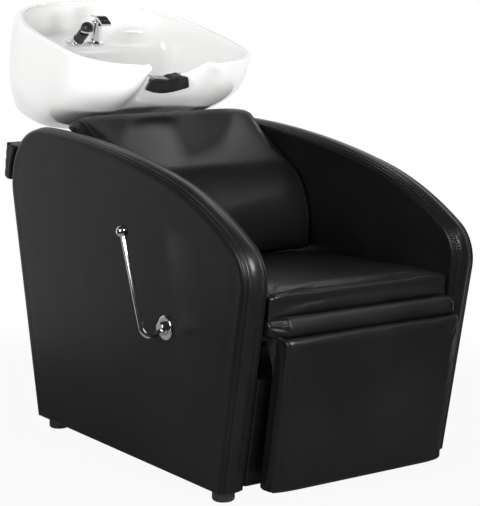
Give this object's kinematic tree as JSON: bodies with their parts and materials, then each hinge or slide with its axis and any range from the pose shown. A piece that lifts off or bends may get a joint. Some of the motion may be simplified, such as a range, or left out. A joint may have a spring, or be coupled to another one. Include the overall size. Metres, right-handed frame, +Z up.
{
  "type": "backwash chair",
  "caption": "Upholstered salon backwash chair with deep side panels, a lever-driven leg rest and a tilting ceramic shampoo basin with mixer and hand spray.",
  "frame": {"origin": "middle of the base's outline on the floor", "axes": "+Z up, +Y from the leg rest to the basin, +X across the chair away from the lever"},
  "size_m": [0.739, 1.4184, 1.0877],
  "materials": {
    "timber": "sawn timber and plywood, hidden under the covers",
    "upholstery": "black grained leather over foam, satin",
    "buffer_rubber": "matt black rubber",
    "black_plastic": "moulded black plastic",
    "neck_rubber": "soft glossy black gel",
    "chrome": "polished chrome",
    "steel": "plain zinc plated steel",
    "ceramic": "white glaze"
  },
  "bodies": {
    "chair": {"left_side_core": "timber", "right_side_core": "timber", "left_side_cover": "upholstery", "right_side_cover": "upholstery", "kick_panel": "upholstery", "lower_rear_rail": "timber", "rear_beam": "timber", "rear_beam_cover": "upholstery", "seat_battens": "timber", "seat_board": "timber", "seat_cushion": "upholstery", "front_roll": "upholstery", "front_roll_core": "timber", "backrest_board": "timber", "backrest_pad": "upholstery", "backrest_batten_left": "timber", "backrest_batten_right": "timber", "foot_front_left": "black_plastic", "foot_front_right": "black_plastic", "foot_rear_left": "black_plastic", "foot_rear_right": "black_plastic", "foot_screws": "steel", "hinge_plates": "steel", "hinge_pins": "steel", "lever_escutcheon": "chrome", "shaft_bushes": "black_plastic", "legrest_buffers": "buffer_rubber", "basin_bracket": "steel", "bracket_bolts": "steel", "tilt_pin": "steel"},
    "legrest": {"legrest_board": "timber", "legrest_pad": "upholstery", "legrest_bracket_left": "steel", "legrest_bracket_right": "steel", "legrest_screws": "steel"},
    "lever": {"lever_shaft": "steel", "crank_left": "steel", "crank_right": "steel", "lever_hub": "chrome", "lever_rod": "chrome", "lever_ball": "chrome"},
    "link_left": {"drive_link_left": "steel"},
    "link_right": {"drive_link_right": "steel"},
    "basin": {"basin": "ceramic", "neck_rest": "neck_rubber", "basin_cradle": "steel", "cradle_bolts": "steel", "waste_flange": "chrome", "waste_tail": "black_plastic", "waste_nut": "black_plastic", "mixer_body": "chrome", "spray_socket": "chrome", "tap_nuts": "black_plastic", "inlet_tails": "steel"},
    "strainer": {"hair_strainer": "chrome"},
    "mixer_swivel": {"mixer_cap": "chrome"},
    "mixer_paddle": {"mixer_lever": "chrome"},
    "spray": {"spray_handset": "black_plastic", "spray_rose": "chrome"}
  },
  "joints": [
    {"name": "legrest_swing", "type": "hinge", "parent": "chair", "child": "legrest", "pos_m": [0.0395, -0.67121, 0.412], "axis": [-1, 0, 0], "range_deg": [0, 80]},
    {"name": "lever_turn", "type": "hinge", "parent": "chair", "child": "lever", "pos_m": [0.0395, -0.34521, 0.368], "axis": [-1, 0, 0], "range_deg": [0, 80]},
    {"name": "link_left_turn", "type": "hinge", "parent": "lever", "child": "link_left", "pos_m": [-0.1895, -0.30664, 0.32204], "axis": [-1, 0, 0], "range_deg": [-80, 0]},
    {"name": "link_right_turn", "type": "hinge", "parent": "lever", "child": "link_right", "pos_m": [0.2685, -0.30664, 0.32204], "axis": [-1, 0, 0], "range_deg": [-80, 0]},
    {"name": "basin_tilt", "type": "hinge", "parent": "chair", "child": "basin", "pos_m": [0.0395, 0.41926, 0.74717], "axis": [-1, 0, 0], "range_deg": [0, 14]},
    {"name": "strainer_lift", "type": "slide", "parent": "basin", "child": "strainer", "axis": [0, -0.2419, 0.9703], "range_m": [0, 0.05]},
    {"name": "mixer_swivel", "type": "hinge", "parent": "basin", "child": "mixer_swivel", "pos_m": [0.0705, 0.57384, 1.02155], "axis": [0, -0.2419, 0.9703], "range_deg": [-45, 45]},
    {"name": "mixer_lift", "type": "hinge", "parent": "mixer_swivel", "child": "mixer_paddle", "pos_m": [0.0705, 0.57154, 1.03076], "axis": [-1, 0, 0], "range_deg": [0, 20]},
    {"name": "spray_pull", "type": "slide", "parent": "basin", "child": "spray", "axis": [0, -0.829, 0.5592], "range_m": [0, 0.06]}
  ],
  "couplings": [
    {"joint": "lever_turn", "follows": "legrest_swing", "ratio": 1},
    {"joint": "link_left_turn", "follows": "legrest_swing", "ratio": -1},
    {"joint": "link_right_turn", "follows": "legrest_swing", "ratio": -1}
  ]
}
